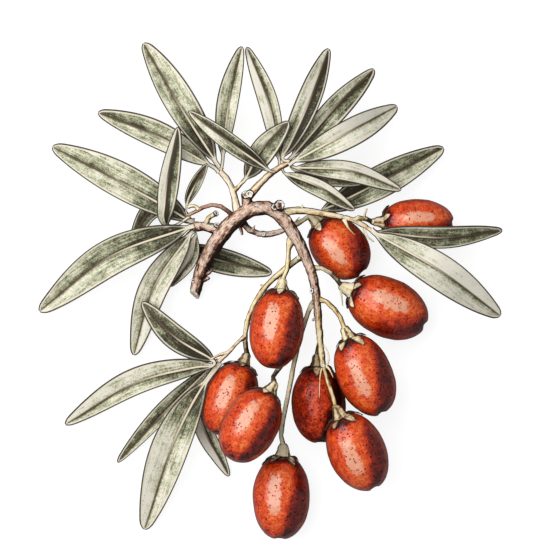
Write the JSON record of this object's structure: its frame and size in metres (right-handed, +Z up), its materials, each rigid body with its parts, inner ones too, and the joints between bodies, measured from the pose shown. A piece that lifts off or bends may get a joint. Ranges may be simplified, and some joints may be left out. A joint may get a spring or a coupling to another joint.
{
  "type": "goji berry sprig",
  "caption": "Cut sprig of goji lying flat: an arched woody branch, slender leafy side shoots and ripe oblong berries hanging on thin stalks, each with its calyx.",
  "frame": {"origin": "centre of the sprig's box in plan, at the surface that the sprig lies on", "axes": "+Z up from that surface, +Y from the lowest berry towards the upper leaves, +X towards the leaves and berries of the right-hand twig"},
  "size_m": [0.116, 0.124, 0.0258],
  "materials": {
    "berry": "thin glossy fruit skin, orange-red with darker red mottling",
    "stalk": "satin yellow-green berry stalk and calyx",
    "leaf_pale": "matt sage leaf blade with a cream margin and midrib",
    "leaf_dark": "matt grey-green to olive-brown leaf blade with a pale edge",
    "twig": "smooth tan young twig",
    "red_shoot": "smooth dark red-brown young shoot",
    "bark": "rough grey-brown bark with lenticels and pale pruning cuts"
  },
  "bodies": {
    "root": {"main_branch": "bark", "left_twig": "bark", "red_shoot": "red_shoot", "upper_left_twig": "twig", "upper_left_side_twig": "twig", "upper_right_twig": "twig", "right_twig": "twig", "back_twig": "bark", "lower_twig": "stalk", "lower_side_twig": "twig", "berry_1": "berry", "berry_2": "berry", "berry_3": "berry", "berry_4": "berry", "berry_5": "berry", "berry_6": "berry", "berry_7": "berry", "berry_8": "berry", "berry_9": "berry", "berry_10": "berry", "stalk_1": "stalk", "stalk_2": "stalk", "stalk_3": "stalk", "stalk_4": "stalk", "stalk_5": "stalk", "stalk_6": "stalk", "stalk_7": "stalk", "stalk_8": "stalk", "stalk_9": "stalk", "stalk_10": "stalk", "left_leaf_1": "leaf_pale", "left_leaf_2": "leaf_pale", "left_leaf_3": "leaf_pale", "left_leaf_4": "leaf_pale", "left_leaf_5": "leaf_pale", "left_leaf_6": "leaf_dark", "left_leaf_7": "leaf_dark", "red_shoot_leaf": "leaf_dark", "upper_left_leaf_1": "leaf_pale", "upper_left_leaf_2": "leaf_pale", "upper_left_leaf_3": "leaf_pale", "side_leaf": "leaf_pale", "upper_right_leaf_1": "leaf_dark", "upper_right_leaf_2": "leaf_pale", "upper_right_leaf_3": "leaf_dark", "upper_right_leaf_4": "leaf_dark", "upper_right_leaf_5": "leaf_pale", "upper_right_leaf_6": "leaf_pale", "upper_right_leaf_7": "leaf_dark", "upper_right_leaf_8": "leaf_pale", "right_leaf_1": "leaf_dark", "right_leaf_2": "leaf_dark", "right_leaf_3": "leaf_pale", "lower_leaf_1": "leaf_dark", "lower_leaf_2": "leaf_pale", "lower_leaf_3": "leaf_dark", "lower_leaf_4": "leaf_pale", "lower_leaf_5": "leaf_dark"}
  },
  "joints": []
}
